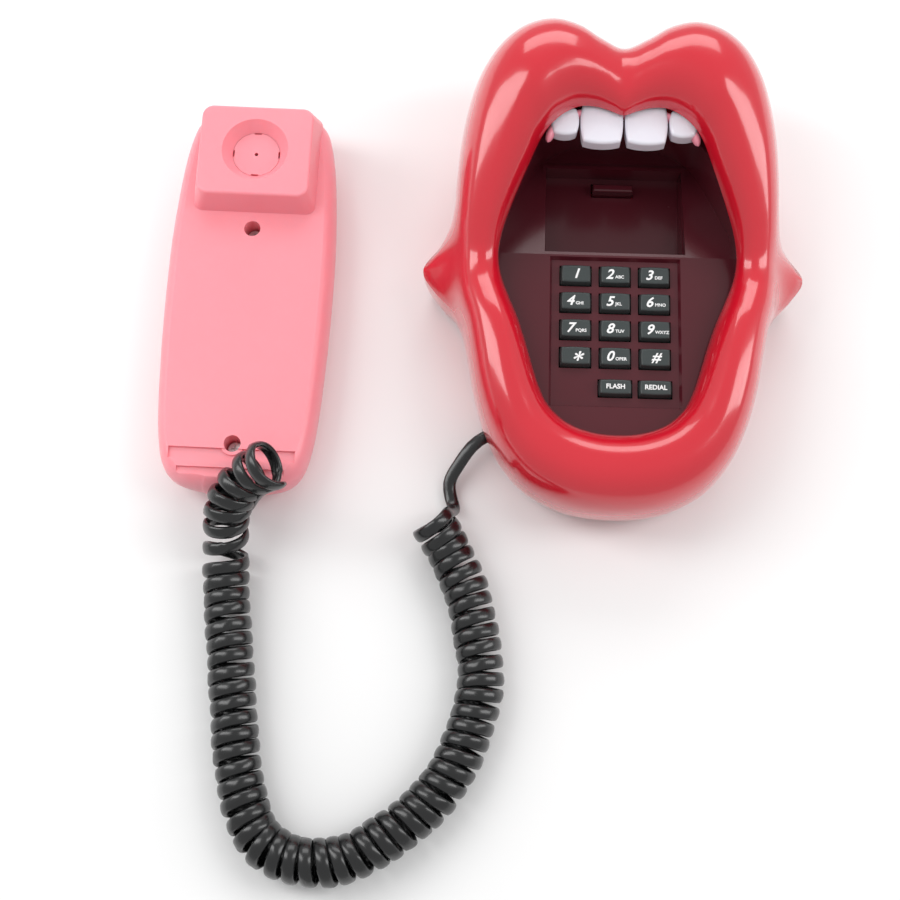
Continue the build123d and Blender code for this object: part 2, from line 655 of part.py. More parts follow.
def tube(route, r, label):
    """Straight runs joined by tangent arcs, each arc as large as its two runs allow."""
    corners = [Vector(*p) for p in route]
    runs = [corners[i + 1] - corners[i] for i in range(len(corners) - 1)]
    radii = []
    for a, b in zip(runs, runs[1:]):
        half_turn = math.radians(a.get_angle(b)) / 2
        radii.append(0.45 * min(a.length, b.length) / math.tan(half_turn))
    path = FilletPolyline(*corners, radius=radii)
    start = Plane(origin=corners[0], z_dir=runs[0])
    solid = sweep(start * Circle(r), path)
    lengths = [run.length for run in runs]
    print(label, "smallest arc", round(min(radii), 1))
    print("  runs", round(min(lengths), 1), "to", round(max(lengths), 1))
    print("  length", round(path.length, 1), "volume / (section x length)",
          round(solid.volume / (math.pi * r * r * path.length), 4))
    return solid


def base_lead_route():
    """From the plug's end to the rim of the coil's first turn."""
    c, s = math.cos(math.radians(base_jack_turn)), math.sin(math.radians(base_jack_turn))
    out = [(base_x + base_jack_x + d * c, base_y + base_jack_y + d * s, z)
           for d, z in ((plug_out, base_jack_z - 0.5), (plug_out + 6.0, base_jack_z - 0.5))]
    return out + [(-8.6, -77.0, 6.6), (-12.6, -83.6, 4.4), (-11.6, -90.4, 3.4), (-9.4, -96.2, 4.4),
                  (-10.4, -101.6, 8.0)]


def handset_lead_route():
    """From the handset's plug to the underside of the coil that lies over its end."""
    turn = math.radians(handset_turn)
    y = handset_jack_y - plug_out - 0.15
    x0, y0 = handset_x - y * math.sin(turn), handset_y + y * math.cos(turn)
    return [(x0, y0, handset_jack_z - 0.5), (x0, y0 - 4.6, handset_jack_z - 0.5),
            (x0 + 2.4, y0 - 6.2, handset_jack_z + 3.0), (x0 + 3.0, y0 - 5.4, handset_jack_z + 7.4)]


def write(name, shape, place):
    """Moves one piece, or a list of equal ones, to its place and writes its file."""
    items = list(shape) if isinstance(shape, (list, tuple, ShapeList)) else [shape]
    solids = [solid for item in items for solid in place(item).solids()]
    export_step(solids[0] if len(solids) == 1 else Compound(children=solids), f"parts/{name}.step")


def main():
    os.makedirs("parts", exist_ok=True)
    skin, inside = lip_sections()
    base = {
        "lip_shell": lip_shell(skin, inside), "bottom_plate": bottom_plate(inside), "rubber_feet": feet(),
        "base_screws": base_screws(), "mouth_tray": tray(), "tray_screws": tray_screws(),
        "teeth": teeth(), "gum_strip": gum(), "key_mat": key_mat(), "keypad_board": keypad_board(),
        "board_screws": board_screws(), "main_board": main_board(), "line_transformer": line_transformer(),
        "dial_chip": dial_chip(), "ringer": ringer(), "hook_lever": hook_lever(), "hook_pin": hook_pin(),
        "hook_switch": hook_switch(), "hook_spring": hook_spring(), "ballast": ballast(),
        "ringer_knob": ringer_knob(), "ringer_housing": ringer_housing(), "line_jack": line_jack(),
        "base_cord_jack": jack_place(cord_jack()), "base_plug": jack_place(cord_plug()),
    }
    for name, x, y in key_places():
        base[name] = key(name, x, y)
    handset = {
        "handset_back": handset_back(), "handset_front": handset_front(), "earpiece_cap": earpiece_cap(),
        "receiver": receiver(), "microphone": microphone(), "handset_weight": handset_weight(),
        "handset_screws": handset_screws(), "handset_cord_jack": handset_jack_place(cord_jack()),
        "handset_plug": handset_jack_place(cord_plug()),
    }
    cords = {
        "curly_cord": tube(coil_route, coil_r, "coil"),
        "base_lead": tube(base_lead_route(), lead_r, "base lead"),
        "handset_lead": tube(handset_lead_route(), lead_r, "handset lead"),
    }
    for place, group in ((at_base, base), (at_handset, handset), (as_is, cords)):
        for name, shape in group.items():
            write(name, shape, place)


main()
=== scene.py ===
import math
import bpy
import numpy as np
from mathutils import Matrix, Vector


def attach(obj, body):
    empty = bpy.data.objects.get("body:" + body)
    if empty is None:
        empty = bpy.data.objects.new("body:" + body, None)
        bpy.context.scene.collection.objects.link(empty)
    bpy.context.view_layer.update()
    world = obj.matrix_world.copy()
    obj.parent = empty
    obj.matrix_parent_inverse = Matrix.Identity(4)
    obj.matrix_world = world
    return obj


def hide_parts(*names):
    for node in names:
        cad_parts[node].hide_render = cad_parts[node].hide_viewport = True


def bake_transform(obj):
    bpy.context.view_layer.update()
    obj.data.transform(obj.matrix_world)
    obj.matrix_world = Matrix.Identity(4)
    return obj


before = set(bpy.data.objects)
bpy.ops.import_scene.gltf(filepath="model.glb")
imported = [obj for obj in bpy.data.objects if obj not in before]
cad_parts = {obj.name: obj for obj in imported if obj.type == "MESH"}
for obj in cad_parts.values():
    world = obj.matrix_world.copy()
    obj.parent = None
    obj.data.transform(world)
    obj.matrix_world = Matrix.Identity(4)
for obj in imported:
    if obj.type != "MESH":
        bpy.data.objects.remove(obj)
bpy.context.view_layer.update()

# A telephone in the shape of an open mouth, with its handset beside it on a curly cord.
# Lengths in the dictionaries are millimetres; mm turns them into metres.
mm = 0.001
base = {"x": 54.6, "y": 3.35}
handset = {"x": -100.15, "y": -7.9, "turn": -1.1}


def gridFaces(rows, cols, wrapRows=False, wrapCols=False):
    # each quad joins a grid point to its neighbours one row on and one column on
    r = np.arange(rows if wrapRows else rows - 1)
    c = np.arange(cols if wrapCols else cols - 1)
    a, b = np.meshgrid(r, c, indexing="ij")
    nextA, nextB = (a + 1) % rows, (b + 1) % cols
    corners = [a * cols + b, nextA * cols + b, nextA * cols + nextB, a * cols + nextB]
    return np.stack(corners, axis=-1).reshape(-1, 4)


def fanFaces(ring, centre):
    # triangles from a closed ring of point numbers to one middle point
    ring = np.asarray(ring)
    return np.stack([ring, np.roll(ring, -1), np.full(len(ring), centre)], axis=-1)


def addPiece(name, points, faceGroups, sharp=40.0):
    # builds the mesh, and turns its faces outwards if the volume they enclose comes out negative;
    # that volume is a sixth of the sum, over triangles, of one corner times the cross of the other two
    points = np.asarray(points, float).reshape(-1, 3)
    volume = 0.0
    for group in faceGroups:
        corners = points[group]
        for i in range(1, group.shape[1] - 1):
            volume += (corners[:, 0] * np.cross(corners[:, i], corners[:, i + 1])).sum()
    faces = [face for group in faceGroups for face in group.tolist()]
    if volume < 0:
        faces = [face[::-1] for face in faces]
    mesh = bpy.data.meshes.new(name)
    mesh.from_pydata(points.tolist(), [], faces)
    mesh.polygons.foreach_set("use_smooth", np.ones(len(faces), dtype=bool))
    mesh.set_sharp_from_angle(angle=math.radians(sharp))
    piece = bpy.data.objects.new(name, mesh)
    bpy.context.scene.collection.objects.link(piece)
    return piece


def finishPiece(piece, body, material, replaced=()):
    piece.data.materials.clear()
    piece.data.materials.append(material)
    if body:
        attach(piece, body)
    if replaced:
        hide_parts(*replaced)
    return piece


def atBase(points):
    # millimetres about the base's own centre, to metres in the frame
    return (np.asarray(points, float) + (base["x"], base["y"], 0)) * mm


def atHandset(points):
    # millimetres about the handset's middle, turned and moved to its place, in metres
    c, s = math.cos(math.radians(handset["turn"])), math.sin(math.radians(handset["turn"]))
    turn = np.array([[c, s, 0], [-s, c, 0], [0, 0, 1]])
    return (np.asarray(points, float) @ turn + (handset["x"], handset["y"], 0)) * mm


def splinePoints(route, perSpan=8):
    # points along one smooth NURBS line that has the route as its control points
    curve = bpy.data.curves.new("route", "CURVE")
    curve.dimensions = "3D"
    curve.resolution_u = perSpan
    line = curve.splines.new("NURBS")
    line.points.add(len(route) - 1)
    line.points.foreach_set("co", np.column_stack([route, np.ones(len(route))]).ravel())
    line.order_u = 3
    line.use_endpoint_u = True
    holder = bpy.data.objects.new("route", curve)
    bpy.context.scene.collection.objects.link(holder)
    bpy.context.view_layer.update()
    mesh = bpy.data.meshes.new_from_object(holder.evaluated_get(bpy.context.evaluated_depsgraph_get()))
    points = np.zeros(len(mesh.vertices) * 3)
    mesh.vertices.foreach_get("co", points)
    bpy.data.objects.remove(holder)
    bpy.data.curves.remove(curve)
    bpy.data.meshes.remove(mesh)
    return points.reshape(-1, 3)


def unit(vectors):
    return vectors / np.maximum(np.linalg.norm(vectors, axis=-1, keepdims=True), 1e-12)


def alongLine(points):
    # distance along a line at each of its points
    return np.concatenate([[0], np.cumsum(np.linalg.norm(np.diff(points, axis=0), axis=1))])


def atDistances(points, distances):
    s = alongLine(points)
    return np.column_stack([np.interp(distances, s, points[:, i]) for i in range(3)])


def carriedFrames(points, firstNormal):
    # a normal at each point, carried along the line without turning about it
    tangents = unit(np.gradient(points, axis=0))
    normals = np.zeros_like(points)
    n = np.array(firstNormal, float)
    for i, t in enumerate(tangents):
        n = n - t * (n @ t)
        n /= np.linalg.norm(n)
        normals[i] = n
    return tangents, normals


def newMaterial(name):
    material = bpy.data.materials.new(name)
    material.use_nodes = True
    shader = material.node_tree.nodes["Principled BSDF"]
    return material, material.node_tree.nodes, material.node_tree.links, shader


def noiseOf(nodes, links, scale, detail=3.0, stretch=(1, 1, 1)):
    place = nodes.new("ShaderNodeTexCoord")
    mapping = nodes.new("ShaderNodeMapping")
    mapping.inputs["Scale"].default_value = stretch
    noise = nodes.new("ShaderNodeTexNoise")
    noise.inputs["Scale"].default_value = scale
    noise.inputs["Detail"].default_value = detail
    links.new(place.outputs["Object"], mapping.inputs["Vector"])
    links.new(mapping.outputs["Vector"], noise.inputs["Vector"])
    return noise


def rangeOf(nodes, links, source, low, high):
    ramp = nodes.new("ShaderNodeMapRange")
    ramp.inputs["To Min"].default_value = low
    ramp.inputs["To Max"].default_value = high
    links.new(source, ramp.inputs["Value"])
    return ramp.outputs["Result"]


def moulded(name, look):
    # moulded plastic: a little colour drift, roughness that varies with handling, and a fine surface texture
    material, nodes, links, shader = newMaterial(name)
    drift = noiseOf(nodes, links, look.get("driftScale", 25.0), 4.0)
    mix = nodes.new("ShaderNodeMix")
    mix.data_type = "RGBA"
    mix.inputs["A"].default_value = (*look["colour"], 1)
    mix.inputs["B"].default_value = (*look["deep"], 1)
    links.new(rangeOf(nodes, links, drift.outputs["Fac"], 0.0, look.get("drift", 0.5)), mix.inputs["Factor"])
    links.new(mix.outputs["Result"], shader.inputs["Base Color"])
    wear = noiseOf(nodes, links, look.get("wearScale", 90.0), 5.0)
    links.new(rangeOf(nodes, links, wear.outputs["Fac"], *look["rough"]), shader.inputs["Roughness"])
    grain = noiseOf(nodes, links, look.get("grainScale", 1800.0), 2.0)
    bump = nodes.new("ShaderNodeBump")
    bump.inputs["Strength"].default_value = look.get("grain", 0.05)
    bump.inputs["Distance"].default_value = 0.0002
    links.new(grain.outputs["Fac"], bump.inputs["Height"])
    links.new(bump.outputs["Normal"], shader.inputs["Normal"])
    shader.inputs["Coat Weight"].default_value = look.get("coat", 0.0)
    shader.inputs["Coat Roughness"].default_value = look.get("coatRough", 0.05)
    shader.inputs["Subsurface Weight"].default_value = look.get("soft", 0.0)
    shader.inputs["Subsurface Radius"].default_value = look.get("softReach", (0.004, 0.0015, 0.0012))
    shader.inputs["Subsurface Scale"].default_value = 1.0
    shader.inputs["Specular IOR Level"].default_value = look.get("specular", 0.5)
    shader.inputs["Metallic"].default_value = look.get("metal", 0.0)
    shader.inputs["Transmission Weight"].default_value = look.get("clear", 0.0)
    return material


# colour and deep are the two ends of a slow drift; rough is the range that the roughness varies in
finishes = {
    "lips": {"colour": (0.62, 0.008, 0.024), "deep": (0.54, 0.006, 0.018), "rough": (0.16, 0.26),
             "coat": 0.9, "coatRough": 0.09, "grain": 0.03, "soft": 0.04},
    "tray": {"colour": (0.085, 0.010, 0.017), "deep": (0.062, 0.008, 0.013), "rough": (0.20, 0.30),
             "coat": 0.25, "coatRough": 0.12, "grain": 0.05, "specular": 0.35},
    "teeth": {"colour": (0.80, 0.79, 0.86), "deep": (0.76, 0.75, 0.84), "rough": (0.18, 0.28),
              "coat": 0.5, "coatRough": 0.1, "grain": 0.03, "soft": 0.15, "softReach": (0.002, 0.002, 0.002)},
    "gum": {"colour": (0.85, 0.30, 0.38), "deep": (0.75, 0.22, 0.30), "rough": (0.3, 0.4), "grain": 0.04},
    "keys": {"colour": (0.032, 0.043, 0.043), "deep": (0.026, 0.036, 0.036), "rough": (0.36, 0.5),
             "grain": 0.12},
    "legend": {"colour": (0.86, 0.88, 0.88), "deep": (0.78, 0.80, 0.80), "rough": (0.45, 0.55),
               "grain": 0.02},
    "handset": {"colour": (0.96, 0.30, 0.35), "deep": (0.93, 0.26, 0.31), "rough": (0.34, 0.46),
                "grain": 0.10, "soft": 0.30, "softReach": (0.006, 0.0018, 0.0016), "coat": 0.15,
                "coatRough": 0.3},
    "cord": {"colour": (0.0035, 0.004, 0.0045), "deep": (0.006, 0.0065, 0.007), "rough": (0.22, 0.32),
             "coat": 0.35, "coatRough": 0.18, "grain": 0.10},
    "plug": {"colour": (0.50, 0.53, 0.54), "deep": (0.42, 0.45, 0.46), "rough": (0.10, 0.2), "clear": 0.6},
    "jack": {"colour": (0.03, 0.03, 0.033), "deep": (0.022, 0.022, 0.024), "rough": (0.4, 0.5), "grain": 0.1},
    "rubber": {"colour": (0.04, 0.04, 0.04), "deep": (0.06, 0.06, 0.06), "rough": (0.75, 0.9), "grain": 0.3},
    "board": {"colour": (0.015, 0.14, 0.05), "deep": (0.012, 0.10, 0.04), "rough": (0.3, 0.4)},
    "chip": {"colour": (0.02, 0.02, 0.022), "deep": (0.03, 0.03, 0.03), "rough": (0.5, 0.6)},
    "silicone": {"colour": (0.32, 0.32, 0.33), "deep": (0.28, 0.28, 0.29), "rough": (0.6, 0.7)},
    "steel": {"colour": (0.62, 0.62, 0.62), "deep": (0.5, 0.5, 0.5), "rough": (0.25, 0.4), "metal": 1.0},
    "iron": {"colour": (0.18, 0.18, 0.19), "deep": (0.12, 0.11, 0.10), "rough": (0.5, 0.7), "metal": 1.0},
    "brass": {"colour": (0.75, 0.56, 0.24), "deep": (0.62, 0.44, 0.18), "rough": (0.25, 0.4), "metal": 1.0},
}
materials = {name: moulded(name, look) for name, look in finishes.items()}
print("materials", len(materials))


cameraPlace = {"lookAt": (-12.4, -68.65, 0), "distance": 620, "tilt": 16, "turn": 1.7, "lens": 58,
               "sensor": 36, "clip": (0.05, 20)}


def placeCamera(p):
    # looks down at the table, tilted from straight down and turned a little about the vertical
    tilt, turn = math.radians(p["tilt"]), math.radians(p["turn"])
    right = Vector((math.cos(turn), math.sin(turn), 0))
    back = Vector((math.sin(turn) * math.sin(tilt), -math.cos(turn) * math.sin(tilt), math.cos(tilt)))
    up = back.cross(right)
    data = bpy.data.cameras.new("camera")
    data.lens, data.sensor_width = p["lens"], p["sensor"]
    data.clip_start, data.clip_end = p["clip"]
    camera = bpy.data.objects.new("camera", data)
    bpy.context.scene.collection.objects.link(camera)
    turned = Matrix((right, up, back)).transposed().to_4x4()
    camera.matrix_world = Matrix.Translation((Vector(p["lookAt"]) + back * p["distance"]) * mm) @ turned
    bpy.context.scene.camera = camera


placeCamera(cameraPlace)
print("camera")


# the curly cord between the base and the handset
cord = {
    "width": 5.4, "thick": 2.5,          # the flat lead, which the coil is wound from
    "coilRadius": 8.5,                   # to the middle of the lead
    "turns": 56.36, "perTurn": 14, "startAngle": 300.0,
    "looseTurns": (50.0, 0.5), "looseness": 1.3,   # one place where a turn has been pulled open
    "endLoose": 1.35, "endFlare": 0.14,  # the last turns at the handset lie wider apart, and larger
    "endTurns": 4, "endTurnsIn": 3.0, "flareTurns": 2.5,
    "uneven": ((0.10, 2.1, 0), (0.06, 5.3, 1)), "wobble": (0.02, 1.7),
    "plugDrop": 0.5, "leadOut": 6.0, "plugReach": (3.0, 8.0), "perSpan": 3,
    "twistIn": (3, 6.0), "twistOut": (1, 4.0),
    "sectionPoints": 14,
    "squareness": 2.2,
    # from the last turn down under the coil to the plug
    "tail": [(-85.5, -98.6, 38.0), (-89.0, -99.5, 29.0), (-94.0, -101.0, 19.5), (-99.0, -102.0, 12.0)],
}
coilRoute = [(-19.0, -103.2, 14.6), (-13.2, -111.6, 10.4), (-8.4, -120.8, 9.9), (-3.6, -131.2, 9.9),
             (-0.6, -143.5, 9.9), (1.9, -155.6, 9.9), (3.3, -167.2, 9.9), (1.6, -178.4, 9.9),
             (-1.9, -190.2, 9.9), (-6.4, -201.6, 9.9), (-13.6, -213.0, 9.9), (-23.0, -222.3, 9.9),
             (-34.0, -230.6, 9.9), (-45.4, -237.8, 9.9), (-58.0, -240.4, 9.9), (-70.6, -239.2, 9.9),
             (-81.6, -233.2, 9.9), (-87.6, -222.6, 9.9), (-91.0, -210.6, 9.9), (-93.6, -198.0, 9.9),
             (-95.3, -185.0, 9.9), (-97.0, -172.2, 9.9), (-98.6, -159.4, 9.9), (-100.5, -146.6, 9.9),
             (-101.9, -134.4, 9.9), (-102.9, -123.4, 11.0), (-102.6, -113.6, 16.4), (-102.2, -106.4, 23.4),
             (-99.8, -99.0, 29.4), (-94.6, -93.2, 34.0), (-88.4, -90.2, 38.6), (-82.0, -88.6, 44.0)]
baseJack = {"at": (-49.2, -66.9, 10.2), "turn": 209.0, "out": 3.0}
handsetJack = {"y": -83.6, "z": 8.4}
baseLead = [(-8.6, -77.0, 6.6), (-12.6, -83.6, 4.4), (-11.6, -90.4, 3.4), (-9.4, -96.2, 4.4)]


def coilHelix(c):
    # the coil's axis is the route's smooth line; each point of the helix stands off it by the coil's
    # radius, at an angle that grows in step with the distance along the axis, faster where it is tight
    axis = splinePoints(coilRoute)
    length = alongLine(axis)[-1]
    count = int(c["turns"] * c["perTurn"]) + 1
    turn = np.linspace(0, c["turns"], count)
    where, width = c["looseTurns"]
    gap = 1 + c["looseness"] * np.exp(-((turn - where) / width) ** 2)
    gap += (c["endLoose"] - 1) * np.clip((turn - (c["turns"] - c["endTurns"])) / c["endTurnsIn"], 0, 1)
    for size, rate, phase in c["uneven"]:
        gap += size * np.sin(turn * rate + phase)
    along = np.concatenate([[0], np.cumsum((gap[1:] + gap[:-1]) / 2)])
    along *= length / along[-1]
    middle = atDistances(axis, along)
    tangents, normals = carriedFrames(middle, (0, 0, 1))
    side = np.cross(tangents, normals)
    angle = (2 * math.pi * turn + math.radians(c["startAngle"]))[:, None]
    wobble = 1 + c["wobble"][0] * np.sin(turn * c["wobble"][1])[:, None]
    wobble += c["endFlare"] * np.clip((turn - c["turns"]) / c["flareTurns"] + 1, 0, 1)[:, None]
    out = normals * np.cos(angle) + side * np.sin(angle)
    return middle + out * c["coilRadius"] * wobble, middle


def ribbonMesh(c, line, radial):
    # a rounded flat section, a superellipse, is carried along the line: wide across it, thin along radial
    tangents = unit(np.gradient(line, axis=0))
    thin = unit(radial - tangents * np.einsum("ij,ij->i", radial, tangents)[:, None])
    wide = np.cross(tangents, thin)
    a = np.linspace(0, 2 * math.pi, c["sectionPoints"], endpoint=False)
    u = np.sign(np.cos(a)) * np.abs(np.cos(a)) ** (2 / c["squareness"]) * c["width"] / 2
    v = np.sign(np.sin(a)) * np.abs(np.sin(a)) ** (2 / c["squareness"]) * c["thick"] / 2
    rings = line[:, None] + wide[:, None] * u[None, :, None] + thin[:, None] * v[None, :, None]
    count, n = len(line), c["sectionPoints"]
    points = np.vstack([rings.reshape(-1, 3), line[:1], line[-1:]])
    last = np.arange(n) + (count - 1) * n
    return points, [gridFaces(count, n, wrapCols=True), fanFaces(np.arange(n)[::-1], count * n),
                    fanFaces(last, count * n + 1)]


def makeCord(c):
    # lead out of the base, one tangent step into the first turn, the coil, and the lead into the handset
    helix, middle = coilHelix(c)
    turn = math.radians(baseJack["turn"])
    out = np.array([math.cos(turn), math.sin(turn), 0])
    start = np.array(baseJack["at"]) + (base["x"], base["y"], -c["plugDrop"]) + out * baseJack["out"]
    first = np.vstack([start, start + out * c["leadOut"], baseLead])
    plugEnd = atHandset([(0, handsetJack["y"] - reach, handsetJack["z"] - c["plugDrop"])
                         for reach in c["plugReach"]]) / mm
    last = np.vstack([c["tail"], plugEnd[::-1]])
    route = np.vstack([first, helix, last])
    line = splinePoints(route, c["perSpan"])
    nearest = np.argmin(np.linalg.norm(line[:, None] - middle[None, ::5], axis=2), axis=1) * 5
    radial = unit(line - middle[nearest])
    # along the leads the thin side turns smoothly from the coil's radial direction to straight up
    share = np.linspace(0, len(route) - 1, len(line))
    into = np.clip((share - len(first) + c["twistIn"][0]) / c["twistIn"][1], 0, 1)[:, None]
    outOf = share - (len(route) - len(last)) - c["twistOut"][0]
    outOf = np.clip(outOf / c["twistOut"][1], 0, 1)[:, None]
    into, outOf = into * into * (3 - 2 * into), outOf * outOf * (3 - 2 * outOf)
    up = np.array([0.0, 0.0, 1.0])
    radial = unit(np.where(share[:, None] < len(first) + 4, radial * into + up * (1 - into), radial))
    radial = unit(radial * (1 - outOf) + up * outOf)
    points, faces = ribbonMesh(c, line, radial)
    piece = addPiece("curlyCord", points * mm, faces, sharp=60)
    finishPiece(piece, None, materials["cord"], ("curly_cord", "base_lead", "handset_lead"))
    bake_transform(piece)
    return piece


makeCord(cord)


# stations round the right half, from the top notch to the bottom: the outer edge (x, y), the inner
# rim (x, y, z), the crest's height, and how far the mouth's corner flares out
lipStations = np.array([
    (0.0, 87.6, 0.0, 52.8, 66.0, 77.0, 0.0), (10.3, 91.3, 5.5, 54.8, 66.0, 79.0, 0.0),
    (20.4, 96.7, 11.5, 56.5, 66.0, 81.5, 0.0), (31.6, 98.5, 18.0, 56.4, 66.0, 83.5, 0.0),
    (42.9, 95.0, 24.5, 53.2, 65.5, 84.0, 0.0), (52.0, 87.5, 30.0, 48.0, 64.5, 83.0, 0.0),
    (58.8, 77.2, 33.6, 42.8, 62.0, 80.0, 0.0), (63.0, 65.7, 36.8, 36.0, 58.8, 76.0, 0.0),
    (65.9, 51.3, 40.4, 28.3, 54.8, 71.0, 0.0), (67.3, 36.7, 44.0, 20.0, 50.6, 65.5, 0.0),
    (67.8, 23.5, 47.3, 10.8, 46.5, 59.5, 0.6), (67.7, 11.6, 48.9, 3.2, 43.4, 54.0, 5.1),
    (66.7, 0.6, 48.8, -3.2, 41.2, 50.0, 13.8), (66.7, -8.6, 47.2, -10.0, 39.8, 49.0, 9.0),
    (65.7, -17.3, 44.2, -17.6, 38.8, 50.5, 2.4), (62.9, -28.1, 40.4, -26.8, 38.0, 52.5, 0.3),
    (60.5, -40.7, 37.0, -37.0, 37.2, 53.0, 0.0), (57.7, -55.3, 34.0, -47.2, 36.6, 52.5, 0.0),
    (53.1, -70.3, 31.0, -56.0, 36.0, 51.5, 0.0), (46.2, -83.9, 27.0, -63.4, 35.6, 50.0, 0.0),
    (35.2, -95.5, 19.8, -69.8, 35.2, 49.0, 0.0), (19.1, -103.1, 10.2, -73.4, 35.0, 48.3, 0.0),
    (0.0, -105.4, 0.0, -74.4, 35.0, 48.0, 0.0)])
# shares are of the way from the rim to the outer edge, or of the crest's height
lips = {"crestShare": 0.42, "bulgeShare": 0.48, "shoulder": 2.5, "bottom": 2.6, "bottomInset": 0.17,
        "wall": 2.4, "flarePower": 2.4, "perStation": 8, "inner": 14, "upper": 22, "lower": 12}
# low and high x, y and z; the cord's hole stands at its jack and is turned with it
holes = {"cord": (-11, 11, -5.9, 5.9, -5.4, 5.4), "line": (-6, 6, 72, 92, 6.0, 16.8)}


def smoothRows(values, where):
    # a cubic through each four rows of values, which stand at 0, 1, 2 and so on
    last = len(values) - 1
    i = np.clip(np.floor(where).astype(int), 0, last - 1)
    t = (where - i).reshape(-1, 1)
    p0, p1 = values[np.maximum(i - 1, 0)], values[i]
    p2, p3 = values[i + 1], values[np.minimum(i + 2, last)]
    slope1, slope2 = (p2 - p0) / 2, (p3 - p1) / 2
    return ((2 * t**3 - 3 * t**2 + 1) * p1 + (t**3 - 2 * t**2 + t) * slope1
            + (3 * t**2 - 2 * t**3) * p2 + (t**3 - t**2) * slope2)


def lipSkin(c, where):
    # each row is one section of the lips: a quarter ellipse up from the rim to the crest, a quarter of
    # a fuller superellipse down to the widest point, and a slightly curved side down to the table
    mirrored = np.vstack([lipStations[2:0:-1], lipStations, lipStations[-2:-4:-1]])
    mirrored[:2, [0, 2]] *= -1
    mirrored[-2:, [0, 2]] *= -1
    row = smoothRows(mirrored, where + 2)
    outer, rim = row[:, None, 0:2], row[:, None, 2:4]
    rimZ, crestZ, flare = row[:, 4:5], row[:, 5:6], row[:, 6:7]
    bulgeZ = crestZ * c["bulgeShare"]
    a = np.radians(np.linspace(0, 90, c["inner"] + 1))[None, :-1]
    b = np.radians(np.linspace(0, 90, c["upper"] + 1))[None, :-1]
    d = np.linspace(0, 1, c["lower"] + 1)[None, :]
    crest = c["crestShare"]
    out, up = np.sin(b)**(2 / c["shoulder"]), np.cos(b)**(2 / c["shoulder"])
    share = np.hstack([crest * (1 - np.cos(a)), crest + (1 - crest) * out,
                       1 - c["bottomInset"] * d**2]) + 0 * rimZ
    z = np.hstack([rimZ + (crestZ - rimZ) * np.sin(a), bulgeZ + (crestZ - bulgeZ) * up,
                   bulgeZ - (bulgeZ - c["bottom"]) * d])
    low = np.clip((crestZ - z) / (crestZ - bulgeZ), 0, 1) * (share > crest)
    plan = rim + (outer - rim) * share[..., None]
    plan[..., 0] += flare * low**c["flarePower"]
    return np.dstack([plan, z])


def makeLips(c):
    steps = (len(lipStations) - 1) * c["perStation"]
    half = lipSkin(c, np.linspace(0, len(lipStations) - 1, steps + 1))
    other = half[-2:0:-1] * (-1, 1, 1)
    skin = np.vstack([half, other])
    along = np.roll(skin, -1, axis=0) - np.roll(skin, 1, axis=0)
    normal = unit(np.cross(along, np.gradient(skin, axis=1)))
    # above the crest the outward side is the upper one
    crest = c["inner"] + 6
    normal *= np.sign(normal[:1, crest:crest + 1, 2:3])
    inside = skin - c["wall"] * normal
    inside[:, 0, 2], inside[:, -1, 2] = skin[:, 0, 2], c["bottom"]
    around = np.concatenate([skin, inside[:, ::-1]], axis=1)
    rows, cols = around.shape[:2]
    piece = addPiece("lips", atBase(around.reshape(-1, 3)), [gridFaces(rows, cols, True, True)], 50)
    cutHoles(piece, holes)
    return finishPiece(piece, "base", materials["lips"], ("lip_shell",))


def boxPoints(x0, x1, y0, y1, z0, z1):
    return np.array([(x, y, z) for x in (x0, x1) for y in (y0, y1) for z in (z0, z1)], float)


boxFaces = np.array([(0, 1, 3, 2), (4, 6, 7, 5), (0, 4, 5, 1), (2, 3, 7, 6), (0, 2, 6, 4), (1, 5, 7, 3)])


def cutHoles(piece, h):
    # the cord's hole at the lower left and the line jack's at the back
    turn = math.radians(baseJack["turn"])
    c, s = math.cos(turn), math.sin(turn)
    cordHole = boxPoints(*h["cord"]) @ np.array([[c, s, 0], [-s, c, 0], [0, 0, 1]])
    for points in (cordHole + baseJack["at"], boxPoints(*h["line"])):
        cut(piece, addPiece("hole", atBase(points), [boxFaces]))


def cut(piece, tool, operation="DIFFERENCE"):
    change = piece.modifiers.new("cut", "BOOLEAN")
    change.operation, change.object, change.solver = operation, tool, "EXACT"
    applyModifiers(piece)
    bpy.data.objects.remove(tool)


def applyModifiers(piece):
    bpy.context.view_layer.update()
    evaluated = piece.evaluated_get(bpy.context.evaluated_depsgraph_get())
    mesh = bpy.data.meshes.new_from_object(evaluated)
    piece.modifiers.clear()
    piece.data = mesh
    mesh.set_sharp_from_angle(angle=math.radians(50))


makeLips(lips)
print("lips")


keys = {
    "pitch": (16.4, 12.05), "firstY": -3.9, "lastDrop": 13.1, "panelTop": 32.0, "rise": 3.2,
    "foot": (12.8, 8.5), "top": (11.6, 7.1), "smallFoot": (13.6, 7.2), "smallTop": (12.4, 5.8),
    "skirt": 2.6, "footRise": 0.4, "draft": 0.5, "corner": 0.8, "edge": 0.55, "dish": 0.05,
    "ringPoints": 64,
    "digit": 6.0, "star": 9.0, "letters": 1.9, "word": 2.8, "inkRise": 0.03, "inkThick": 0.26,
    "lean": 0.3, "digitWeight": 0.13, "lettersWeight": 0.05, "wordWeight": 0.08,
    "digitLeft": 2.5, "digitDrop": 0.2, "starDrop": 2.2, "lettersAt": (-0.1, -1.2),
}
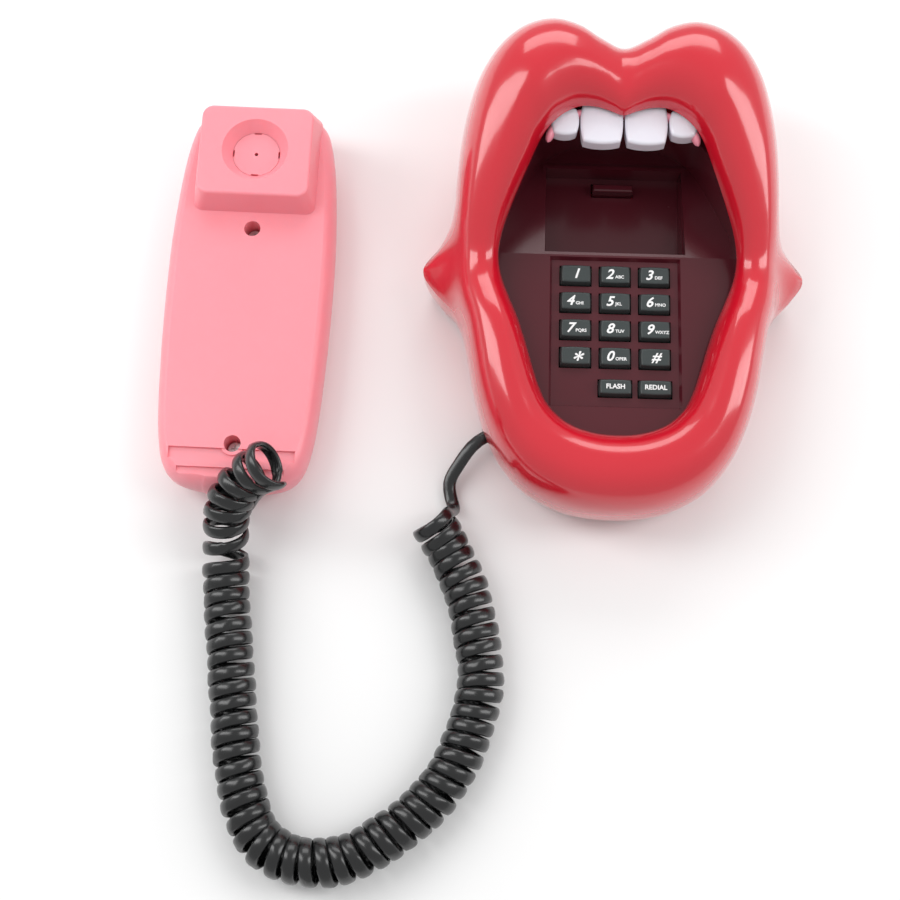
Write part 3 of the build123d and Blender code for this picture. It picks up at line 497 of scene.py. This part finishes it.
# each key: node name, column, row, its digit or sign, the small letters beside it
keyFaces = [("key_1", -1, 0, "1", ""), ("key_2", 0, 0, "2", "ABC"), ("key_3", 1, 0, "3", "DEF"),
            ("key_4", -1, 1, "4", "GHI"), ("key_5", 0, 1, "5", "JKL"), ("key_6", 1, 1, "6", "MNO"),
            ("key_7", -1, 2, "7", "PQRS"), ("key_8", 0, 2, "8", "TUV"), ("key_9", 1, 2, "9", "WXYZ"),
            ("key_star", -1, 3, "*", ""), ("key_0", 0, 3, "0", "OPER"), ("key_hash", 1, 3, "#", ""),
            ("key_flash", 0, 4, "", "FLASH"), ("key_redial", 1, 4, "", "REDIAL")]


def roundedRing(width, depth, corner, count):
    # points round a rectangle whose corners are quarter circles, evenly spread by angle
    a = np.linspace(0, 2 * math.pi, count, endpoint=False)
    x = np.clip(np.cos(a) * 1.42, -1, 1) * (width / 2 - corner)
    y = np.clip(np.sin(a) * 1.42, -1, 1) * (depth / 2 - corner)
    return np.column_stack([x + corner * np.cos(a), y + corner * np.sin(a)])


def keyCap(k, foot, top, x, y):
    # rings from the skirt up the sloping sides, round the top edge and in over a slightly dished top
    low, high = k["panelTop"], k["panelTop"] + k["rise"]
    edge, bottom, n = k["edge"], low - k["skirt"], k["ringPoints"]
    rings = [(foot, bottom), (foot, low), (foot, low + k["footRise"])]
    for t in np.linspace(0, 1, 6):
        grow = k["draft"] * (1 - t) - 2 * edge * (1 - math.cos(t * math.pi / 2))
        rings.append(((top[0] + grow, top[1] + grow), high - edge * (1 - math.sin(t * math.pi / 2))))
    for t in (0.85, 0.6, 0.3):
        rings.append((((top[0] - 2 * edge) * t, (top[1] - 2 * edge) * t), high - k["dish"] * (1 - t * t)))
    points = [np.column_stack([roundedRing(*size, min(k["corner"], size[1] / 3), n), np.full(n, z)])
              for size, z in rings]
    points = np.vstack(points + [[(0, 0, bottom)], [(0, 0, high - k["dish"])]]) + (x, y, 0)
    count = len(rings)
    return points, [gridFaces(count, n, wrapCols=True), fanFaces(np.arange(n)[::-1], count * n),
                    fanFaces(np.arange(n) + (count - 1) * n, count * n + 1)]


def lettering(text, size, x, y, z, lean, weight, align, thick):
    # flat raised printing, made a mesh before it is put in place
    font = bpy.data.curves.new("ink", "FONT")
    font.body, font.size, font.shear, font.offset = text, size * mm, lean, weight * mm
    font.align_x, font.align_y = align, "CENTER"
    font.extrude = thick / 2 * mm
    font.resolution_u = 4
    holder = bpy.data.objects.new("ink", font)
    bpy.context.scene.collection.objects.link(holder)
    bpy.context.view_layer.update()
    mesh = bpy.data.meshes.new_from_object(holder.evaluated_get(bpy.context.evaluated_depsgraph_get()))
    bpy.data.objects.remove(holder)
    mesh.transform(Matrix.Translation(Vector(atBase([(x, y, z)])[0])))
    return mesh


def makeKeys(k):
    for name, column, row, sign, letters in keyFaces:
        x = column * k["pitch"][0]
        y = k["firstY"] - min(row, 3) * k["pitch"][1] - (k["lastDrop"] if row == 4 else 0)
        foot, top = (k["smallFoot"], k["smallTop"]) if row == 4 else (k["foot"], k["top"])
        points, faces = keyCap(k, foot, top, x, y)
        cap = addPiece(name.replace("key_", "cap_"), atBase(points), faces, 50)
        finishPiece(cap, name, materials["keys"], (name,))
        z = k["panelTop"] + k["rise"] + k["inkRise"] - k["inkThick"] / 2
        meshes = []
        if sign:
            left = x - (k["digitLeft"] if letters else 0)
            size, low = (k["star"], k["starDrop"]) if sign == "*" else (k["digit"], k["digitDrop"])
            meshes.append(lettering(sign, size, left, y - low, z, k["lean"], k["digitWeight"], "CENTER",
                                    k["inkThick"]))
            if letters:
                right, up = k["lettersAt"]
                meshes.append(lettering(letters, k["letters"], x + right, y + up, z, 0,
                                        k["lettersWeight"], "LEFT", k["inkThick"]))
        else:
            meshes.append(lettering(letters, k["word"], x, y, z, 0, k["wordWeight"], "CENTER",
                                    k["inkThick"]))
        for i, mesh in enumerate(meshes):
            ink = bpy.data.objects.new(name.replace("key_", "ink_") + ("_letters" if i else ""), mesh)
            bpy.context.scene.collection.objects.link(ink)
            finishPiece(ink, name, materials["legend"])


makeKeys(keys)
print("keys")


# each tooth: middle x, half width, front edge y, back y
teeth = {"rows": [(-23.6, 6.0, 45.0, 58.0), (-8.5, 8.9, 41.3, 62.0), (9.7, 8.9, 41.3, 62.0),
                  (24.9, 6.0, 45.0, 58.0)],
         "low": 58.0, "high": 64.6, "gap": 0.15, "round": 4.0, "crown": 0.6, "edge": 1.5, "ringPoints": 96}


def toothMesh(t, x, half, front, back):
    # rings that shrink towards the top along a quarter circle, with a crowned face between them
    width, depth, n = 2 * (half - t["gap"]), back - front, t["ringPoints"]
    top = t["high"] - t["crown"]
    rings = [(0.0, t["low"]), (0.0, top - t["edge"])]
    for a in np.radians(np.linspace(0, 80, 8)):
        rings.append((t["edge"] * (1 - math.cos(a)), top - t["edge"] * (1 - math.sin(a))))
    rows = []
    for inset, z in rings:
        corner = t["round"] - 0.6 * inset
        ring = roundedRing(width - 2 * inset, depth - 2 * inset, corner, n)
        rows.append(np.column_stack([ring, np.full(n, z)]))
    last = rows[-1]
    for shrink in (0.85, 0.6, 0.3):
        rise = t["crown"] * (1 - shrink**2)
        rows.append(np.column_stack([last[:, :2] * shrink, np.full(n, last[0, 2] + rise)]))
    points = np.vstack(rows + [[(0, 0, t["low"])], [(0, 0, last[0, 2] + t["crown"])]])
    points += (x, (front + back) / 2, 0)
    count = len(rows)
    return points, [gridFaces(count, n, wrapCols=True), fanFaces(np.arange(n)[::-1], count * n),
                    fanFaces(np.arange(n) + (count - 1) * n, count * n + 1)]


def makeTeeth(t):
    for i, row in enumerate(t["rows"]):
        points, faces = toothMesh(t, *row)
        tooth = addPiece("tooth" + str(i + 1), atBase(points), faces, 50)
        finishPiece(tooth, "base", materials["teeth"], ("teeth",))


makeTeeth(teeth)
print("teeth")

# the gum shows only at the outer upper corners of the side teeth
gum = {"line": [(-30.4, 42.6), (-29.6, 47.2), (-26.5, 51.0), (-21.5, 54.2), (-14.0, 56.8), (0.0, 55.6),
                (14.0, 56.8), (21.5, 54.2), (26.9, 51.0), (30.2, 47.2), (31.2, 42.6)],
       "height": 60.6, "radius": (1.9, 2.6), "taper": 5.0, "ringPoints": 20}


def makeGum(g):
    # an oval section carried along the gum line, drawn in to points at both ends
    flat = np.array([(x, y, g["height"]) for x, y in g["line"]])
    line = splinePoints(flat)
    s = alongLine(line)
    ends = np.clip(np.minimum(s, s[-1] - s) / g["taper"], 0.0, 1.0)
    size = np.sqrt(np.maximum(1 - (1 - ends)**2, 0.0004))[:, None]
    tangents, up = carriedFrames(line, (0, 0, 1))
    side = np.cross(tangents, up)
    n, count = g["ringPoints"], len(line)
    a = np.linspace(0, 2 * math.pi, n, endpoint=False)[None, :]
    u, v = g["radius"][0] * np.cos(a) * size, g["radius"][1] * np.sin(a) * size
    rings = line[:, None] + side[:, None] * u[..., None] + up[:, None] * v[..., None]
    points = np.vstack([rings.reshape(-1, 3), line[:1], line[-1:]])
    faces = [gridFaces(count, n, wrapCols=True), fanFaces(np.arange(n)[::-1], count * n),
             fanFaces(np.arange(n) + (count - 1) * n, count * n + 1)]
    piece = addPiece("gum", atBase(points), faces, 60)
    finishPiece(piece, "base", materials["gum"], ("gum_strip",))


makeGum(gum)
print("gum")


# the parts that are shown as they were modelled only get a finish
nodeFinishes = {
    "lips": ["bottom_plate"],
    "tray": ["mouth_tray", "hook_lever"],
    "handset": ["handset_back", "handset_front", "earpiece_cap"],
    "rubber": ["rubber_feet"],
    "steel": ["base_screws", "tray_screws", "board_screws", "handset_screws", "hook_pin", "hook_spring",
              "receiver", "microphone"],
    "iron": ["ballast", "handset_weight", "line_transformer"],
    "brass": ["ringer"],
    "board": ["main_board", "keypad_board"],
    "chip": ["dial_chip", "hook_switch"],
    "silicone": ["key_mat"],
    "jack": ["line_jack", "base_cord_jack", "handset_cord_jack", "ringer_knob", "ringer_housing"],
    "plug": ["base_plug", "handset_plug"],
}
for finish, names in nodeFinishes.items():
    for name in names:
        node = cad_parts[name]
        node.data.materials.clear()
        node.data.materials.append(materials[finish])
print("node finishes")


# each light: its name, place in metres, width, height and watts
studio = {
    "floor": (0.90, 0.90, 0.90), "floorHalf": 4.0, "world": 0.62, "lightAim": (0, -0.03, 0.03),
    "lights": [("left", (-0.72, 0.12, 0.70), 0.35, 1.0, 4.4), ("right", (0.85, 0.0, 0.72), 0.35, 1.0, 4.4),
               ("top", (0.0, 0.95, 0.80), 1.1, 0.5, 5.0)],
}


def makeStudio(p):
    size = p["floorHalf"]
    points = np.array([(-size, -size, 0), (size, -size, 0), (size, size, 0), (-size, size, 0)])
    mesh = bpy.data.meshes.new("floor")
    mesh.from_pydata(points.tolist(), [], [[0, 1, 2, 3]])
    floor = bpy.data.objects.new("floor", mesh)
    bpy.context.scene.collection.objects.link(floor)
    material, nodes, links, shader = newMaterial("floor")
    shader.inputs["Base Color"].default_value = (*p["floor"], 1)
    shader.inputs["Roughness"].default_value = 0.7
    shader.inputs["Specular IOR Level"].default_value = 0.2
    mesh.materials.append(material)
    world = bpy.data.worlds.new("studio")
    world.use_nodes = True
    world.node_tree.nodes["Background"].inputs["Color"].default_value = (1, 1, 1, 1)
    world.node_tree.nodes["Background"].inputs["Strength"].default_value = p["world"]
    bpy.context.scene.world = world
    for name, place, width, height, power in p["lights"]:
        data = bpy.data.lights.new(name, "AREA")
        data.shape, data.size, data.size_y, data.energy = "RECTANGLE", width, height, power
        light = bpy.data.objects.new(name, data)
        light.location = place
        aim = Vector(p["lightAim"]) - Vector(place)
        light.rotation_euler = aim.to_track_quat("-Z", "Y").to_euler()
        bpy.context.scene.collection.objects.link(light)


makeStudio(studio)
print("studio")
bpy.context.scene.view_settings.view_transform = "Standard"
